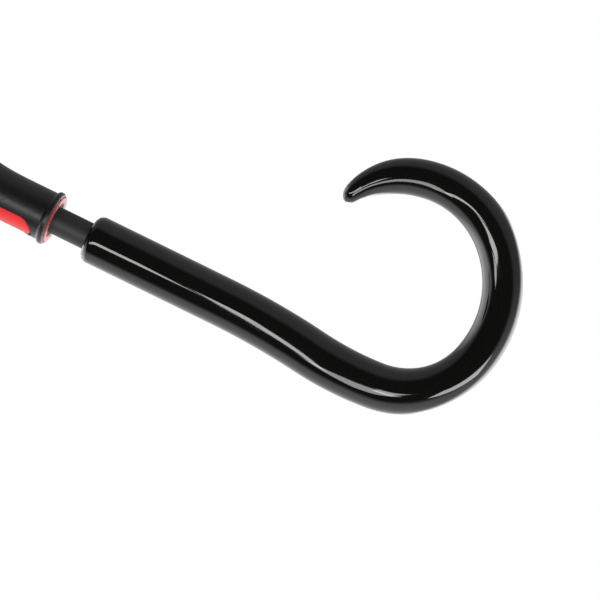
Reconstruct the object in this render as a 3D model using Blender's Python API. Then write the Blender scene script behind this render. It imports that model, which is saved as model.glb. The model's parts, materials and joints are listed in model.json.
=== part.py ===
"""A stick umbrella with a crook handle, closed. Units are metres.

The origin is the centre of the handle's upper end, on the shaft's axis. +Z runs along the shaft to the ferrule,
and the handle's crook curls towards +X, in the XZ plane.
"""

import math

import bmesh
import bpy
from mathutils import Matrix, Vector

# Clearances
GAP = 0.0003  # between pieces that meet

# Shaft
SHAFT_RADIUS = 0.007
SHAFT_BORE = 0.006
SHAFT_BOTTOM = -0.060
SHAFT_TOP = 0.699
SOCKET_RADIUS = SHAFT_RADIUS + GAP

# Crook handle: (length, turn towards the hook in degrees) of each stretch, from its upper end
HANDLE_STRETCHES = [(0.073, 0), (0.0507, -7.4), (0.0362, 12.4), (0.0541, 69.0), (0.0603, 59.3), (0.0600, 67.5),
                    (0.0357, 51)]
HANDLE_TIP_LENGTH = 0.0360
HANDLE_RADII = [(0.060, 0.0123), (0.120, 0.0123), (0.160, 0.0119), (0.200, 0.0109), (0.270, 0.0106),
                (0.334, 0.00945)]  # (distance from the upper end, radius)
HANDLE_TAPER = 0.0265  # the tip's taper steepens up to here, then eases
HANDLE_TAPER_DROP = 0.0036
HANDLE_END_LENGTH = 0.0045  # the round end
HANDLE_TOP_FILLET = 0.0042
HANDLE_SIDES = 20
PIN_HEIGHT = -0.022
PIN_RADIUS = 0.0008
PIN_HOLE_RADIUS = 0.0011

# Runner: (radius, height above its lower end)
RUNNER_BOTTOM = 0.019
RUNNER_BORE = 0.0119
RUNNER_SLEEVE = 0.0126
RUNNER_BEAD = 0.0139
CROWN_RADIUS = 0.020
CROWN_LOW = 0.057  # the flare ends here
CROWN_TOP = 0.073
CROWN_FLOOR = 0.043  # the wide bore ends here
FLARE_START = 0.017
FLARE_POWER = 2.8
LINER_OUTER = RUNNER_BORE - GAP
LINER_BORE = 0.0075
CROWN_PIVOT = Vector((0.0165, 0, 0.084))
CROWN_SLOT_DEPTH = 0.0138  # the slots run outwards from this radius
SLOT_WIDTH = 0.0036

# Release button, which is pushed inwards across the shaft
BUTTON_AZIMUTH = math.radians(204)
BUTTON_TRAVEL = 0.0015
BUTTON_LOW = 0.024
BUTTON_HIGH = 0.0585
WINDOW_LOW = 0.0256
WINDOW_HIGH = 0.056
WINDOW_WIDTH = 0.0156
PAD_FACE = 0.0117
PAD_THICKNESS = 0.0019
PAD_HALF_WIDTH = 0.0088
LATCH_HEIGHT = 0.040
LATCH_HALF_HEIGHT = 0.002
LATCH_RING_RADIUS = 0.0092
LATCH_RING_BORE = 0.0074
LATCH_SLOT_HALF = 0.003
SPRING_INNER = 0.0095
SPRING_OUTER = 0.0099
SPRING_HALF_HEIGHT = 0.004
RUNNER_TRAVEL = 0.3757

# Frame: ribs and stretchers lie in planes through the shaft
RIB_COUNT = 8
FIRST_AZIMUTH = math.radians(30)
PIVOT_RADIUS = 0.012
PIVOT_HEIGHT = 0.665
RIB_LENGTH = 0.585
RIB_TILT = math.radians(1.08)
RIB_BOW = 0.009
RIB_RADIUS = 0.0016
RIB_TIP_LENGTH = 0.008
LUG_AT = 0.290
LUG_DROP = 0.0046
EYE_THICKNESS = 0.0026
EYE_RADIUS = 0.0020
EYE_HOLE = 0.0009
WIRE_RADIUS = 0.0006

# Top fittings
NOTCH_RADIUS = 0.015
NOTCH_SLOT_DEPTH = 0.0094
NOTCH_SLOT_WIDTH = 0.0038
CAP_BOTTOM = 0.6745
CAP_TOP = 0.686
FERRULE_JOIN = 0.728
FERRULE_END = 0.745

# Canopy
CANOPY_TOP = 0.636
CANOPY_BOTTOM = 0.079
CANOPY_THICKNESS = 0.0012
CANOPY_OFFSET = 0.0026  # from a rib's axis to the canopy's inner face
CANOPY_BULGE = 0.0022
SEAM_CLEARANCE = 0.0031  # from a rib's axis to the edge of a panel, sideways
STRAP_PANEL = 5
STRAP_TOP = 0.300
STRAP_LENGTH = 0.190
STRAP_WIDTH = 0.016
STRAP_THICKNESS = 0.0012
SNAP_RADIUS = 0.0055


def clear_scene():
    for obj in list(bpy.data.objects):
        bpy.data.objects.remove(obj, do_unlink=True)


def material(name, colour, roughness, metallic=0.0):
    made = bpy.data.materials.new(name)
    made.use_nodes = True
    shader = made.node_tree.nodes["Principled BSDF"]
    shader.inputs["Base Color"].default_value = (*colour, 1)
    shader.inputs["Roughness"].default_value = roughness
    shader.inputs["Metallic"].default_value = metallic
    return made


def mesh_of(bm, name):
    """The mesh of a bmesh, with its faces turned outwards."""
    bmesh.ops.recalc_face_normals(bm, faces=bm.faces)
    mesh = bpy.data.meshes.new(name)
    bm.to_mesh(mesh)
    bm.free()
    return mesh


def place(name, mesh, surface, location=(0, 0, 0), azimuth=0.0, parent=None):
    """Adds a mesh to the scene as the named piece, with smooth round faces."""
    mesh.materials.clear()
    mesh.materials.append(surface)
    mesh.shade_smooth()
    mesh.set_sharp_from_angle(angle=math.radians(35))
    obj = bpy.data.objects.new(name, mesh)
    bpy.context.scene.collection.objects.link(obj)
    obj.rotation_euler.z = azimuth
    obj.location = location
    obj.parent = parent
    return obj


def combined(mesh, joined=(), cut=()):
    """The mesh with other meshes joined to it, then others cut from it."""
    base = bpy.data.objects.new("base", mesh)
    helpers = [base]
    for operation, tools in (("UNION", joined), ("DIFFERENCE", cut)):
        for tool in tools:
            helper = bpy.data.objects.new("helper", tool)
            helpers.append(helper)
            boolean = base.modifiers.new("combine", "BOOLEAN")
            boolean.operation = operation
            boolean.solver = "EXACT"
            boolean.object = helper
    for obj in helpers:
        bpy.context.scene.collection.objects.link(obj)
    graph = bpy.context.evaluated_depsgraph_get()
    result = bpy.data.meshes.new_from_object(base.evaluated_get(graph))
    for obj in helpers:
        bpy.data.objects.remove(obj, do_unlink=True)
    return result


def turned(outline, sides=32):
    """The solid that a closed outline of (radius, height) points makes when it turns about Z."""
    bm = bmesh.new()
    rings = []
    for radius, height in outline:
        if radius < 1e-7:
            rings.append([bm.verts.new((0, 0, height))] * sides)
            continue
        turns = [2 * math.pi * k / sides for k in range(sides)]
        rings.append([bm.verts.new((radius * math.cos(a), radius * math.sin(a), height)) for a in turns])
    for low, high in zip(rings, rings[1:] + rings[:1]):
        for k in range(sides):
            after = (k + 1) % sides
            corners = list(dict.fromkeys((low[k], low[after], high[after], high[k])))
            if len(corners) > 2:
                bm.faces.new(corners)
    return mesh_of(bm, "turned")


def arc(centre, radius, start, end, steps=4):
    """Points on an arc in the (radius, height) plane, with its angles in degrees."""
    angles = [math.radians(start + (end - start) * k / steps) for k in range(steps + 1)]
    return [(centre[0] + radius * math.cos(a), centre[1] + radius * math.sin(a)) for a in angles]


def swept(points, across, radii, sides):
    """A round bar through the points, which lie in a plane whose normal is across."""
    bm = bmesh.new()
    rings = []
    for k, point in enumerate(points):
        ahead = (points[min(k + 1, len(points) - 1)] - points[max(k - 1, 0)]).normalized()
        beside = ahead.cross(across)
        turns = [2 * math.pi * (j + 0.5) / sides for j in range(sides)]
        rings.append([bm.verts.new(point + radii[k] * (math.cos(a) * beside + math.sin(a) * across))
                      for a in turns])
    for low, high in zip(rings, rings[1:]):
        for j in range(sides):
            after = (j + 1) % sides
            bm.faces.new((low[j], low[after], high[after], high[j]))
    bm.faces.new(rings[0])
    bm.faces.new(rings[-1])
    return mesh_of(bm, "swept")


def box(low, high):
    bm = bmesh.new()
    bmesh.ops.create_cube(bm, size=1)
    size = [b - a for a, b in zip(low, high)]
    middle = [(a + b) / 2 for a, b in zip(low, high)]
    bmesh.ops.transform(bm, matrix=Matrix.Translation(middle) @ Matrix.Diagonal((*size, 1)), verts=bm.verts)
    return mesh_of(bm, "box")


def rod(start, end, radius, sides=16):
    """A straight round rod between two points."""
    start, end = Vector(start), Vector(end)
    direction = end - start
    bm = bmesh.new()
    bmesh.ops.create_cone(bm, cap_ends=True, segments=sides, radius1=radius, radius2=radius,
                          depth=direction.length)
    turn = direction.to_track_quat("Z", "Y").to_matrix().to_4x4()
    bmesh.ops.transform(bm, matrix=Matrix.Translation((start + end) / 2) @ turn, verts=bm.verts)
    return mesh_of(bm, "rod")


def moved(mesh, matrix):
    mesh.transform(matrix)
    return mesh


def around(angle):
    return Matrix.Rotation(angle, 4, "Z")


def azimuth_of(index):
    return FIRST_AZIMUTH + index * 2 * math.pi / RIB_COUNT


def radial_slots(inner, outer, width, bottom, top):
    """One box for each rib, from the inner radius outwards, as a single mesh."""
    bm = bmesh.new()
    for index in range(RIB_COUNT):
        slot = moved(box((inner, -width / 2, bottom), (outer, width / 2, top)), around(azimuth_of(index)))
        bm.from_mesh(slot)
    return mesh_of(bm, "slots")


# Handle and shaft


def handle_length():
    return sum(length for length, _ in HANDLE_STRETCHES)


def handle_centreline(distances):
    """Points at these distances along the handle, which starts at the origin and heads down."""
    step = 0.0005
    point, heading, travelled, found = Vector((0, 0, 0)), 0.0, 0.0, []
    waiting = sorted(distances)
    for length, turn in HANDLE_STRETCHES:
        count = round(length / step)
        for _ in range(count):
            while waiting and waiting[0] <= travelled + 1e-9:
                found.append(point.copy())
                waiting.pop(0)
            heading += math.radians(turn) / count
            point += length / count * Vector((math.sin(heading), 0, -math.cos(heading)))
            travelled += length / count
    return found + [point.copy() for _ in waiting]


def handle_radius(distance):
    if distance < HANDLE_TOP_FILLET:
        rise = 1 - distance / HANDLE_TOP_FILLET
        return HANDLE_RADII[0][1] - HANDLE_TOP_FILLET * (1 - math.sqrt(1 - rise * rise))
    into_tip = distance - (handle_length() - HANDLE_TIP_LENGTH)
    if into_tip > 0:
        past = max(0, into_tip - HANDLE_TAPER)
        radius = HANDLE_RADII[-1][1] - HANDLE_TAPER_DROP * (min(into_tip / HANDLE_TAPER, 1)) ** 1.6
        radius += past * (-8 * past - 1.6 * HANDLE_TAPER_DROP / HANDLE_TAPER)
        to_end = min(1, max(0, HANDLE_TIP_LENGTH - into_tip) / HANDLE_END_LENGTH)
        return radius * max(0.35, math.sqrt(1 - (1 - to_end) ** 2))
    if distance <= HANDLE_RADII[0][0]:
        return HANDLE_RADII[0][1]
    for (before, first), (after, second) in zip(HANDLE_RADII, HANDLE_RADII[1:]):
        if distance <= after:
            mix = (distance - before) / (after - before)
            return first + (second - first) * mix * mix * (3 - 2 * mix)
    return HANDLE_RADII[-1][1]


def handle_mesh():
    length = handle_length()
    fillet = [HANDLE_TOP_FILLET * (1 - math.cos(math.radians(a))) for a in (0, 25, 45, 65, 90)]
    body = [0.006 + 0.0078 * k for k in range(45)]
    tip = [length - back for back in (0.016, 0.011, 0.007, 0.004, 0.002, 0.0008, 0)]
    distances = fillet + [d for d in body if d < length - 0.020] + tip
    points = handle_centreline(distances)
    radii = [handle_radius(d) for d in sorted(distances)]
    outer = swept(points, Vector((0, 1, 0)), radii, HANDLE_SIDES)
    socket = rod((0, 0, SHAFT_BOTTOM - 0.002), (0, 0, 0.01), SOCKET_RADIUS, 24)
    pin_hole = rod((0, 0.004, PIN_HEIGHT), (0, 0.02, PIN_HEIGHT), PIN_HOLE_RADIUS, 10)
    return combined(outer, cut=[socket, pin_hole])


def shaft_mesh():
    tube = turned([(SHAFT_RADIUS, SHAFT_BOTTOM), (SHAFT_RADIUS, SHAFT_TOP), (SHAFT_BORE, SHAFT_TOP),
                   (SHAFT_BORE, SHAFT_BOTTOM)], 24)
    pin_hole = rod((0, 0.003, PIN_HEIGHT), (0, 0.02, PIN_HEIGHT), PIN_HOLE_RADIUS, 10)
    latch_at = LATCH_HEIGHT + RUNNER_TRAVEL
    half = LATCH_SLOT_HALF
    latch_slot = moved(box((0.004, -half, latch_at - half), (0.010, half, latch_at + half)),
                       around(BUTTON_AZIMUTH + math.pi))
    return combined(tube, cut=[pin_hole, latch_slot])


def shaft_plug_mesh():
    radius, chamfer, top = SHAFT_BORE - GAP, 0.001, -0.010
    plug = turned([(0, SHAFT_BOTTOM), (radius - chamfer, SHAFT_BOTTOM), (radius, SHAFT_BOTTOM + chamfer),
                   (radius, top), (0, top)], 20)
    return combined(plug, cut=[rod((0, 0.001, PIN_HEIGHT), (0, 0.02, PIN_HEIGHT), PIN_HOLE_RADIUS, 10)])


def handle_pin_mesh():
    return rod((0, 0.0015, PIN_HEIGHT), (0, 0.0108, PIN_HEIGHT), PIN_RADIUS, 12)


# Runner


def runner_outline():
    """The shell's outer side from its lower end up, then its bore back down."""
    base = RUNNER_BOTTOM
    bead = [(RUNNER_BORE, base), (RUNNER_BEAD - 0.001, base), (RUNNER_BEAD, base + 0.001),
            (RUNNER_BEAD, base + 0.0026), (RUNNER_BEAD - 0.0008, base + 0.0034), (RUNNER_SLEEVE, base + 0.0036)]
    flare = []
    for k in range(8):
        rise = k / 7
        radius = RUNNER_SLEEVE + (CROWN_RADIUS - RUNNER_SLEEVE) * rise**FLARE_POWER
        flare.append((radius, base + FLARE_START + (CROWN_LOW - FLARE_START) * rise))
    crown = [(CROWN_RADIUS, base + CROWN_TOP - 0.0015), (CROWN_RADIUS - 0.0015, base + CROWN_TOP)]
    bore = [(SHAFT_RADIUS + 0.0004, base + CROWN_TOP), (SHAFT_RADIUS + 0.0004, base + CROWN_FLOOR),
            (RUNNER_BORE, base + CROWN_FLOOR)]
    return bead + flare + crown + bore


def window_cutter():
    """A bar with a round lower end, pointing out along the button's azimuth."""
    half = WINDOW_WIDTH / 2
    block = box((0.009, -half, WINDOW_LOW + half), (0.018, half, WINDOW_HIGH))
    end = rod((0.009, 0, WINDOW_LOW + half), (0.018, 0, WINDOW_LOW + half), half, 24)
    return moved(combined(block, joined=[end]), around(BUTTON_AZIMUTH))


def runner_shell_mesh():
    slots = radial_slots(CROWN_SLOT_DEPTH, 0.03, SLOT_WIDTH, RUNNER_BOTTOM + 0.010,
                         RUNNER_BOTTOM + CROWN_TOP + 0.01)
    return combined(turned(runner_outline(), 40), cut=[window_cutter(), slots])


def liner_mesh(bottom, top):
    edge = 0.0006
    return turned([(LINER_BORE, bottom), (LINER_OUTER - edge, bottom), (LINER_OUTER, bottom + edge),
                   (LINER_OUTER, top), (LINER_BORE, top)], 32)


def button_mesh():
    """A pad behind the window, and a ring round the shaft whose far edge is the latch. Modelled facing +X."""
    plate = combined(
        turned([(PAD_FACE - PAD_THICKNESS, BUTTON_LOW), (PAD_FACE, BUTTON_LOW), (PAD_FACE, BUTTON_HIGH),
                (PAD_FACE - PAD_THICKNESS, BUTTON_HIGH)], 48),
        cut=[box((-0.02, -0.02, 0.0), (0.007, 0.02, 0.08)),
             box((-0.02, PAD_HALF_WIDTH, 0.0), (0.02, 0.02, 0.08)),
             box((-0.02, -0.02, 0.0), (0.02, -PAD_HALF_WIDTH, 0.08))])
    ring_low, ring_high = LATCH_HEIGHT - LATCH_HALF_HEIGHT, LATCH_HEIGHT + LATCH_HALF_HEIGHT
    ring = rod((0, 0, ring_low), (0, 0, ring_high), LATCH_RING_RADIUS, 32)
    bridge = box((0.0, -0.0050, ring_low), (PAD_FACE - PAD_THICKNESS, 0.0050, ring_high))
    bore = LATCH_RING_BORE
    at_rest = rod((0, 0, 0.02), (0, 0, 0.07), bore, 24)
    pressed = rod((BUTTON_TRAVEL, 0, 0.02), (BUTTON_TRAVEL, 0, 0.07), bore, 24)
    way = box((0, -bore, 0.02), (BUTTON_TRAVEL, bore, 0.07))
    return combined(plate, joined=[ring, bridge], cut=[at_rest, pressed, way])


def button_spring_mesh():
    """A leaf behind the latch ring, drawn pressed flat, on the side away from the pad."""
    low, high = LATCH_HEIGHT - SPRING_HALF_HEIGHT, LATCH_HEIGHT + SPRING_HALF_HEIGHT
    band = turned([(SPRING_INNER, low), (SPRING_OUTER, low), (SPRING_OUTER, high), (SPRING_INNER, high)], 48)
    return combined(band, cut=[box((-0.0065, -0.02, 0.0), (0.02, 0.02, 0.08))])


# Ribs and stretchers, modelled in the plane of +X and Z with their origin on their pivot


def rib_point(along):
    """A point on the rib's axis, this far from its pivot along its chord."""
    bow = RIB_BOW * 4 * (along / RIB_LENGTH) * (1 - along / RIB_LENGTH)
    outward = Vector((math.cos(RIB_TILT), 0, math.sin(RIB_TILT)))
    down = Vector((math.sin(RIB_TILT), 0, -math.cos(RIB_TILT)))
    return along * down + bow * outward


def lug_pivot():
    return rib_point(LUG_AT) - LUG_DROP * Vector((math.cos(RIB_TILT), 0, math.sin(RIB_TILT)))


def eye(centre, thickness, radius, sides=12):
    half = Vector((0, thickness / 2, 0))
    return rod(Vector(centre) - half, Vector(centre) + half, radius, sides)


def rib_mesh():
    across = Vector((0, 1, 0))
    first, last, count = 0.0015, RIB_LENGTH - RIB_TIP_LENGTH, 12
    ends = [first + k * (last - first) / count for k in range(count + 1)]
    bar = swept([rib_point(d) for d in ends], across, [RIB_RADIUS] * len(ends), 8)
    half = EYE_THICKNESS / 2 - 0.0002
    neck = moved(box((-0.0012, -half, -0.009), (0.0014, half, 0)), Matrix.Rotation(-RIB_TILT, 4, "Y"))
    pivot = lug_pivot()
    collar_ends = [rib_point(LUG_AT - 0.004), rib_point(LUG_AT + 0.004)]
    collar = rod(collar_ends[0], collar_ends[1], 0.0024, 10)
    lug = box((pivot.x, -0.0010, pivot.z - 0.0016), (pivot.x + LUG_DROP, 0.0010, pivot.z + 0.0016))
    eyes = [eye((0, 0, 0), EYE_THICKNESS, EYE_RADIUS), eye(pivot, 0.0024, 0.0018)]
    holes = [eye((0, 0, 0), 0.01, EYE_HOLE, 8), eye(pivot, 0.01, EYE_HOLE, 8)]
    return combined(bar, joined=[neck, collar, lug] + eyes, cut=holes)


def rib_tip_mesh():
    base, end = rib_point(RIB_LENGTH - RIB_TIP_LENGTH + GAP), rib_point(RIB_LENGTH + 0.002)
    length = (end - base).length
    outline = [(0, 0), (0.0022, 0), (0.0022, length * 0.55), (0.0026, length * 0.70), (0.0026, length * 0.85),
               (0.0016, length)]
    turn = (end - base).to_track_quat("Z", "Y").to_matrix().to_4x4()
    return moved(turned(outline + [(0, length)], 10), Matrix.Translation(base) @ turn)


def stretcher_mesh():
    """The fork's pin is the origin, and the bar runs down to its eye in the runner's crown."""
    pivot = lug_pivot() + Vector((PIVOT_RADIUS, 0, PIVOT_HEIGHT))
    reach = CROWN_PIVOT - pivot
    down = reach.normalized()
    fork = combined(
        box((-0.0016, -0.0025, -0.009), (0.0016, 0.0025, 0)),
        joined=[eye((0, 0, 0), 0.0046, 0.00165)],
        cut=[box((-0.004, -0.0015, -0.0055), (0.004, 0.0015, 0.004))])
    pin = eye((0, 0, 0), 0.0044, WIRE_RADIUS, 8)
    bar = rod(0.0082 * down, reach - 0.0005 * down, 0.0013, 8)
    end = eye(reach, EYE_THICKNESS, EYE_RADIUS)
    return combined(fork, joined=[pin, bar, end], cut=[eye(reach, 0.01, EYE_HOLE, 8)])


# Top fittings


def notch_mesh():
    groove_low = PIVOT_HEIGHT - 0.0009
    top = PIVOT_HEIGHT + 0.009
    bottom = PIVOT_HEIGHT - 0.009
    inner, outer = PIVOT_RADIUS - 0.0009, PIVOT_RADIUS + 0.0009
    body = turned([(SOCKET_RADIUS, bottom), (NOTCH_RADIUS - 0.001, bottom), (NOTCH_RADIUS, bottom + 0.001),
                   (NOTCH_RADIUS, top), (outer, top), (outer, groove_low), (inner, groove_low), (inner, top),
                   (SOCKET_RADIUS, top)], 32)
    slots = radial_slots(NOTCH_SLOT_DEPTH, 0.02, NOTCH_SLOT_WIDTH, bottom - 0.01, top + 0.01)
    return combined(body, cut=[slots])


def ring_wire_mesh():
    return turned(arc((PIVOT_RADIUS, PIVOT_HEIGHT), WIRE_RADIUS, 0, 300, 5), 32)


def top_cap_mesh():
    dome = arc((0.0105, CAP_BOTTOM + 0.0015), 0.0075, 0, 80, 5)
    crown = [(radius, height) for radius, height in dome if height < CAP_TOP]
    return turned([(SOCKET_RADIUS, CAP_BOTTOM), (0.0165, CAP_BOTTOM)] + crown + [(SOCKET_RADIUS, CAP_TOP)], 32)


def ferrule_mesh():
    """A tapered tube, closed at its end by the shaft stop, which the shaft's top goes into."""
    base = CAP_TOP + GAP
    return turned([(SOCKET_RADIUS, base), (0.0098, base), (0.0100, base + 0.001), (0.0100, base + 0.003),
                   (0.0088, base + 0.0045), (0.0064, FERRULE_JOIN), (0, FERRULE_JOIN), (0, SHAFT_TOP + GAP),
                   (SOCKET_RADIUS, SHAFT_TOP + GAP)], 28)


def ferrule_tip_mesh():
    base = FERRULE_JOIN + GAP
    return turned([(0, base), (0.0064, base), (0.0066, base + 0.0006), (0.0060, FERRULE_END - 0.002),
                   (0.0048, FERRULE_END), (0, FERRULE_END)], 28)


# Canopy


def rib_radius_at(height):
    """The distance from the shaft's axis to a closed rib's axis at this height."""
    along = (PIVOT_HEIGHT - height) / math.cos(RIB_TILT)
    return PIVOT_RADIUS + rib_point(along).x


def canopy_point(height, side, offset):
    """A point on a panel, side running from -1 at one rib to 1 at the next; its middle is at azimuth 0."""
    radius = rib_radius_at(height) + offset
    half = math.pi / RIB_COUNT - SEAM_CLEARANCE / radius
    swell = CANOPY_BULGE * (1 - side * side)
    angle = side * half
    return Vector(((radius + swell) * math.cos(angle), (radius + swell) * math.sin(angle), height))


def canopy_panel_mesh():
    rows, columns = 11, 4
    bm = bmesh.new()
    layers = []
    for offset in (CANOPY_OFFSET, CANOPY_OFFSET + CANOPY_THICKNESS):
        layer = []
        for row in range(rows):
            height = CANOPY_TOP + (CANOPY_BOTTOM - CANOPY_TOP) * row / (rows - 1)
            sides = [2 * column / (columns - 1) - 1 for column in range(columns)]
            layer.append([bm.verts.new(canopy_point(height, side, offset)) for side in sides])
        layers.append(layer)
    inner, outer = layers
    for row in range(rows - 1):
        for column in range(columns - 1):
            for layer in layers:
                bm.faces.new((layer[row][column], layer[row][column + 1], layer[row + 1][column + 1],
                              layer[row + 1][column]))
        for column in (0, columns - 1):
            bm.faces.new((inner[row][column], outer[row][column], outer[row + 1][column],
                          inner[row + 1][column]))
    for row in (0, rows - 1):
        for column in range(columns - 1):
            bm.faces.new((inner[row][column], outer[row][column], outer[row][column + 1],
                          inner[row][column + 1]))
    return mesh_of(bm, "panel")


def hanging_strip(top, bottom, lift, width, thickness):
    """A strip that lies along the middle of a panel, this far off its outer face."""
    rows = 9
    bm = bmesh.new()
    rings = []
    for row in range(rows):
        height = top + (bottom - top) * row / (rows - 1)
        face = canopy_point(height, 0, CANOPY_OFFSET + CANOPY_THICKNESS).x + lift
        back, half = face + thickness, width / 2
        corners = [(face, -half), (back, -half), (back, half), (face, half)]
        rings.append([bm.verts.new((x, y, height)) for x, y in corners])
    for low, high in zip(rings, rings[1:]):
        for k in range(4):
            after = (k + 1) % 4
            bm.faces.new((low[k], low[after], high[after], high[k]))
    bm.faces.new(rings[0])
    bm.faces.new(rings[-1])
    return mesh_of(bm, "strip")


def snap_mesh(height, lift, thickness):
    """A round press fastener part, lying on a strip or a panel."""
    face = canopy_point(height, 0, CANOPY_OFFSET + CANOPY_THICKNESS).x + lift
    stack = [(0, 0), (SNAP_RADIUS, 0), (SNAP_RADIUS, thickness * 0.5), (SNAP_RADIUS * 0.75, thickness),
             (0, thickness)]
    place_at = Matrix.Translation((face, 0, height)) @ Matrix.Rotation(math.pi / 2, 4, "Y")
    return moved(turned(stack, 20), place_at)


# Assembly


def add_handle_and_shaft():
    gloss = material("handle_gloss_black", (0.012, 0.012, 0.013), 0.12)
    matt = material("shaft_matt_black", (0.022, 0.022, 0.024), 0.45)
    wood = material("plug_wood", (0.45, 0.30, 0.17), 0.7)
    steel = material("bright_steel", (0.6, 0.6, 0.6), 0.3, 1)
    place("handle", handle_mesh(), gloss)
    place("shaft", shaft_mesh(), matt)
    place("shaft_end_plug", shaft_plug_mesh(), wood)
    place("handle_pin", handle_pin_mesh(), steel)


def add_runner():
    satin = material("runner_satin_black", (0.015, 0.015, 0.016), 0.35)
    red = material("runner_red", (0.62, 0.03, 0.035), 0.35)
    steel = material("spring_steel", (0.5, 0.5, 0.5), 0.35, 1)
    place("runner_shell", runner_shell_mesh(), satin)
    place("runner_liner_lower", liner_mesh(RUNNER_BOTTOM - 0.0005, BUTTON_LOW - GAP), red)
    place("runner_liner_upper", liner_mesh(BUTTON_HIGH + GAP, RUNNER_BOTTOM + CROWN_FLOOR - GAP), red)
    place("release_button", button_mesh(), red, azimuth=BUTTON_AZIMUTH)
    place("button_spring", button_spring_mesh(), steel, azimuth=BUTTON_AZIMUTH)


def add_top():
    satin = material("fitting_satin_black", (0.02, 0.02, 0.022), 0.4)
    steel = material("wire_steel", (0.6, 0.6, 0.6), 0.3, 1)
    chrome = material("ferrule_metal", (0.55, 0.55, 0.56), 0.25, 1)
    place("top_notch", notch_mesh(), satin)
    place("notch_ring_wire", ring_wire_mesh(), steel)
    place("top_cap", top_cap_mesh(), satin)
    place("ferrule", ferrule_mesh(), satin)
    place("ferrule_tip", ferrule_tip_mesh(), chrome)


def add_frame():
    """Eight ribs on the top notch, each with its tip and its stretcher."""
    glass_fibre = material("rib_glass_fibre", (0.03, 0.03, 0.032), 0.3)
    nylon = material("rib_tip_nylon", (0.015, 0.015, 0.015), 0.5)
    steel = material("stretcher_steel", (0.05, 0.05, 0.052), 0.35, 0.8)
    rib, tip, stretcher = rib_mesh(), rib_tip_mesh(), stretcher_mesh()
    for index in range(RIB_COUNT):
        azimuth = azimuth_of(index)
        turn = around(azimuth)
        pivot = turn @ Vector((PIVOT_RADIUS, 0, PIVOT_HEIGHT))
        joint = turn @ (lug_pivot() + Vector((PIVOT_RADIUS, 0, PIVOT_HEIGHT)))
        place(f"rib_{index + 1}", rib, glass_fibre, pivot, azimuth)
        place(f"rib_tip_{index + 1}", tip, nylon, pivot, azimuth)
        place(f"stretcher_{index + 1}", stretcher, steel, joint, azimuth)


def add_canopy():
    """Each panel is the strip between one rib and the next. One carries the unfastened tie strap."""
    fabric = material("canopy_black_pongee", (0.018, 0.018, 0.02), 0.8)
    steel = material("snap_steel", (0.5, 0.5, 0.5), 0.3, 1)
    panel = canopy_panel_mesh()
    half_step = math.pi / RIB_COUNT
    for index in range(RIB_COUNT):
        place(f"canopy_panel_{index + 1}", panel, fabric, azimuth=azimuth_of(index) + half_step)
    middle = azimuth_of(STRAP_PANEL - 1) + half_step
    strap_bottom = STRAP_TOP - STRAP_LENGTH
    strap = hanging_strip(STRAP_TOP, strap_bottom, GAP, STRAP_WIDTH, STRAP_THICKNESS)
    place("tie_strap", strap, fabric, azimuth=middle)
    on_strap = 2 * GAP + STRAP_THICKNESS
    place("snap_socket", snap_mesh(strap_bottom + 0.010, on_strap, 0.0020), steel, azimuth=middle)
    place("snap_stud", snap_mesh(STRAP_TOP + 0.030, GAP, 0.0016), steel, azimuth=middle)


clear_scene()
add_handle_and_shaft()
add_runner()
add_top()
add_frame()
add_canopy()
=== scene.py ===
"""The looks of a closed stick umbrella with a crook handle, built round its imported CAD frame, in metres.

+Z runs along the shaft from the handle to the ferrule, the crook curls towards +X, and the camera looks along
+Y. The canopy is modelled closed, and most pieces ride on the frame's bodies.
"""

import json
import math

import bmesh
import bpy
import numpy as np
from mathutils import Matrix, Vector

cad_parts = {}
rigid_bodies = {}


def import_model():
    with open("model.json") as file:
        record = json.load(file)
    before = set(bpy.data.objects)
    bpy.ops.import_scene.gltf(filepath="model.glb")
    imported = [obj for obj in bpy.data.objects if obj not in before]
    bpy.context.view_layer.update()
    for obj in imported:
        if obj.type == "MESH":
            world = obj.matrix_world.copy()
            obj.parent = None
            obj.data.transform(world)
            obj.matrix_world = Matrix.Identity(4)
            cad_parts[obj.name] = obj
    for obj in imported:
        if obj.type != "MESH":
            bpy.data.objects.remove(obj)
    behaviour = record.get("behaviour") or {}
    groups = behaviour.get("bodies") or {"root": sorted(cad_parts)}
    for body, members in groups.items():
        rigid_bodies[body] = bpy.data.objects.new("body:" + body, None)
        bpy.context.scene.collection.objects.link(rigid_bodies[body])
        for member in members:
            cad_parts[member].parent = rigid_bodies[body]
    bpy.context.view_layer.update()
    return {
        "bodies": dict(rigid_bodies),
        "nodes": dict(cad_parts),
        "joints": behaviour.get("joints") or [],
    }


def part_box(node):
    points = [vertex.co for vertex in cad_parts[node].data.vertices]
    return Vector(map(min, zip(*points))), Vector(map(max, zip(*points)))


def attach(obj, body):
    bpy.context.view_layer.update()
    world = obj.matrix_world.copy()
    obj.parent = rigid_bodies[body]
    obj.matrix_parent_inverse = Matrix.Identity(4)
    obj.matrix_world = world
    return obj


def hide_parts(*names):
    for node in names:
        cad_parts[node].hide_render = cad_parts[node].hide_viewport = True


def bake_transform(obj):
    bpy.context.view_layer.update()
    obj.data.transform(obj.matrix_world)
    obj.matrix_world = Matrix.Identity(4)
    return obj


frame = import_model()
nodes = frame["nodes"]
joints = {joint["name"]: joint for joint in frame["joints"]}


def heights_of(node):
    """The heights of a CAD node's lower and upper ends."""
    low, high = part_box(node)
    return low.z, high.z


def pivot_of(joint):
    """A joint's place, turned to azimuth 0."""
    x, y, z = joints[joint]["pos_m"]
    return Vector((math.hypot(x, y), 0, z))


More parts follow.
